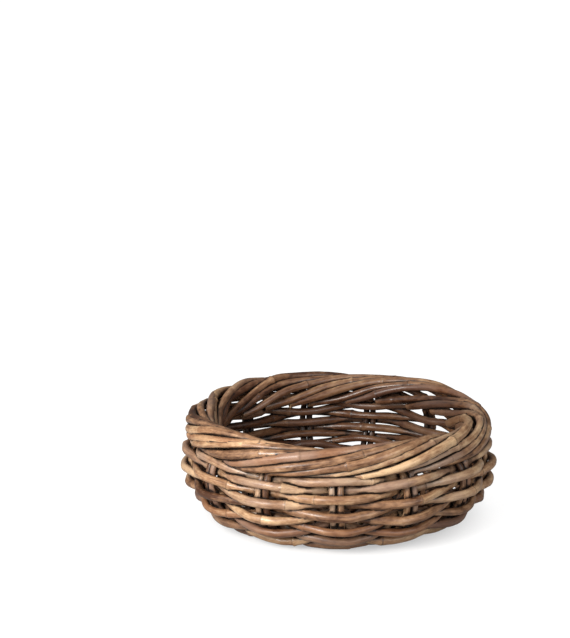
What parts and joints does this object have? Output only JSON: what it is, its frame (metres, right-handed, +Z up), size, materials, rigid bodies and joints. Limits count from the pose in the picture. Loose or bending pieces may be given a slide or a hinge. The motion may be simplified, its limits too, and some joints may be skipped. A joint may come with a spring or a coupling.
{
  "type": "woven cheese mould basket",
  "caption": "Low round bowl-shaped basket of woven cane with a flat woven base, an openwork bulging wall and a thick rolled border.",
  "frame": {"origin": "on the ground under the middle of the basket", "axes": "+Z up through the opening, -Y towards the front stake pair, +X to the right seen from the front"},
  "size_m": [0.3778, 0.3758, 0.1304],
  "materials": {
    "stake_cane": "unpeeled cane, satin, brown to grey-brown",
    "weaver_cane": "unpeeled cane, satin, tan to grey-brown with darker joints",
    "base_cane": "thin unpeeled cane, satin, darker brown"
  },
  "bodies": {
    "root": {"stake_01_left": "stake_cane", "stake_01_right": "stake_cane", "stake_02_left": "stake_cane", "stake_02_right": "stake_cane", "stake_03_left": "stake_cane", "stake_03_right": "stake_cane", "stake_04_left": "stake_cane", "stake_04_right": "stake_cane", "stake_05_left": "stake_cane", "stake_05_right": "stake_cane", "stake_06_left": "stake_cane", "stake_06_right": "stake_cane", "stake_07_left": "stake_cane", "stake_07_right": "stake_cane", "stake_08_left": "stake_cane", "stake_08_right": "stake_cane", "stake_09_left": "stake_cane", "stake_09_right": "stake_cane", "stake_10_left": "stake_cane", "stake_10_right": "stake_cane", "stake_11_left": "stake_cane", "stake_11_right": "stake_cane", "stake_12_left": "stake_cane", "stake_12_right": "stake_cane", "stake_13_left": "stake_cane", "stake_13_right": "stake_cane", "side_weaver_01": "weaver_cane", "side_weaver_02": "weaver_cane", "side_weaver_03": "weaver_cane", "side_weaver_04": "weaver_cane", "side_weaver_05": "weaver_cane", "side_weaver_06": "weaver_cane", "side_weaver_07": "weaver_cane", "side_weaver_08": "weaver_cane", "side_weaver_09": "weaver_cane", "side_weaver_10": "weaver_cane", "side_weaver_11": "weaver_cane", "side_weaver_12": "weaver_cane", "base_weaver_01": "base_cane", "base_weaver_02": "base_cane", "base_weaver_03": "base_cane", "base_weaver_04": "base_cane", "base_weaver_05": "base_cane", "base_weaver_06": "base_cane", "base_binding_rod": "base_cane", "base_stick_lower_1": "base_cane", "base_stick_lower_2": "base_cane", "base_stick_lower_3": "base_cane", "base_stick_upper_1": "base_cane", "base_stick_upper_2": "base_cane", "base_stick_upper_3": "base_cane", "base_stick_short": "base_cane"}
  },
  "joints": []
}
